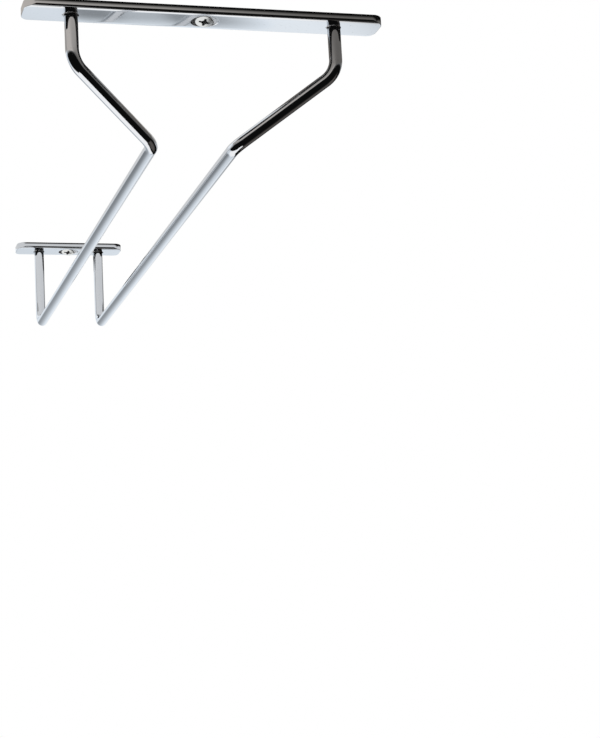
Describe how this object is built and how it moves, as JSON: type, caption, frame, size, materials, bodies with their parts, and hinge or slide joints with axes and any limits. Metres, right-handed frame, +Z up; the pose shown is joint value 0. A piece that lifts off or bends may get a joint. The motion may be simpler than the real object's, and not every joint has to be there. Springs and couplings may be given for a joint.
{
  "type": "hanging wine glass rack",
  "caption": "Under-cupboard stemware rack: two bent wires welded between a wide front bar and a short rear bar, with an open mouth and a slot for the stems of hung glasses.",
  "frame": {"origin": "on the axis of the front screw, in the plane where the bars' top faces meet the underside of the cupboard", "axes": "+Z up, out of the bars' top faces; +Y from the open mouth in front to the back, along the rails; +X to the right of someone who stands in front of the rack"},
  "size_m": [0.13, 0.341, 0.052],
  "materials": {
    "bar_chrome": "bright chrome plate on flat steel bar, mirror-like",
    "wire_chrome": "bright chrome plate on round steel wire, mirror-like",
    "weld_metal": "chrome plate over an uneven weld bead",
    "screw_steel": "bright nickel or zinc plate, slightly duller than the bars"
  },
  "bodies": {
    "root": {"front_bar": "bar_chrome", "rear_bar": "bar_chrome", "left_rail_wire": "wire_chrome", "right_rail_wire": "wire_chrome", "front_screw": "screw_steel", "rear_screw": "screw_steel", "weld_front_left": "weld_metal", "weld_front_right": "weld_metal", "weld_rear_left": "weld_metal", "weld_rear_right": "weld_metal"}
  },
  "joints": []
}
